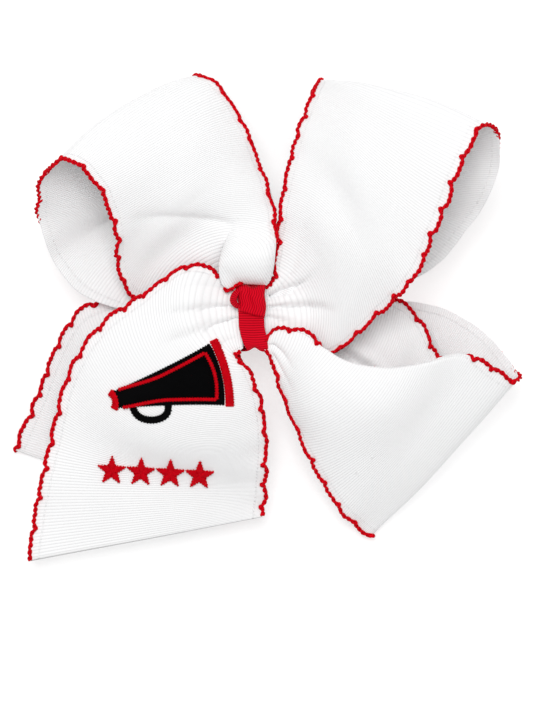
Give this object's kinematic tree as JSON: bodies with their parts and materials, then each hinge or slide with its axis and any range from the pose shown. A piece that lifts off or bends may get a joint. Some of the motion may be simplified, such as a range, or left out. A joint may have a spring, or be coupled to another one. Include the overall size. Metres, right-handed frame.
{
  "type": "cheer hair bow",
  "caption": "Gathered wide-ribbon cheer hair bow with puffy loops, embroidered tail, picot edging, tied centre and a sprung pinch clip behind.",
  "frame": {"origin": "middle of the clip's flat underside, straight below the knot", "axes": "+Z out of the bow's front, +Y up as worn, +X to the right as the front is seen"},
  "size_m": [0.1781, 0.1711, 0.05],
  "materials": {
    "white_grosgrain": "fine ribbed weave, soft satin",
    "red_edging": "crocheted thread, soft sheen",
    "red_ribbon": "ribbed narrow ribbon",
    "black_stitching": "satin stitch thread, silky",
    "red_stitching": "satin stitch thread, silky",
    "binding_wire": "drawn wire",
    "clip_steel": "nickel plated sheet steel",
    "pin_steel": "drawn rod",
    "spring_steel": "drawn spring wire",
    "grip_rubber": "soft matt",
    "clear_glue": "set hot-melt glue"
  },
  "bodies": {
    "bow": {"loop_upper_right": "white_grosgrain", "edging_loop_upper_right": "red_edging", "loop_upper_left": "white_grosgrain", "edging_loop_upper_left": "red_edging", "loop_lower_left": "white_grosgrain", "edging_loop_lower_left": "red_edging", "loop_lower_right": "white_grosgrain", "edging_loop_lower_right": "red_edging", "tail_front": "white_grosgrain", "edging_tail_front": "red_edging", "tail_inner": "white_grosgrain", "edging_tail_inner": "red_edging", "ribbon_centre_gather": "white_grosgrain", "cinch_wire": "binding_wire", "centre_wrap": "red_ribbon", "centre_knot": "red_ribbon", "embroidery_megaphone": "black_stitching", "embroidery_trim_bands": "red_stitching", "embroidery_stars": "red_stitching", "clip_upper_jaw": "clip_steel", "clip_hinge_pin": "pin_steel", "clip_torsion_spring": "spring_steel", "clip_grip_liner": "grip_rubber", "clip_ribbon_cover": "white_grosgrain", "glue_pad": "clear_glue"},
    "lower_jaw": {"clip_lower_jaw": "clip_steel"}
  },
  "joints": [
    {"name": "clip_hinge", "type": "hinge", "parent": "bow", "child": "lower_jaw", "pos_m": [0.0115, 0, 0.0032], "axis": [0, -1, 0], "range_deg": [0, 38], "stiffness_Nm_per_rad": 0.06, "springref_deg": -28.65}
  ]
}
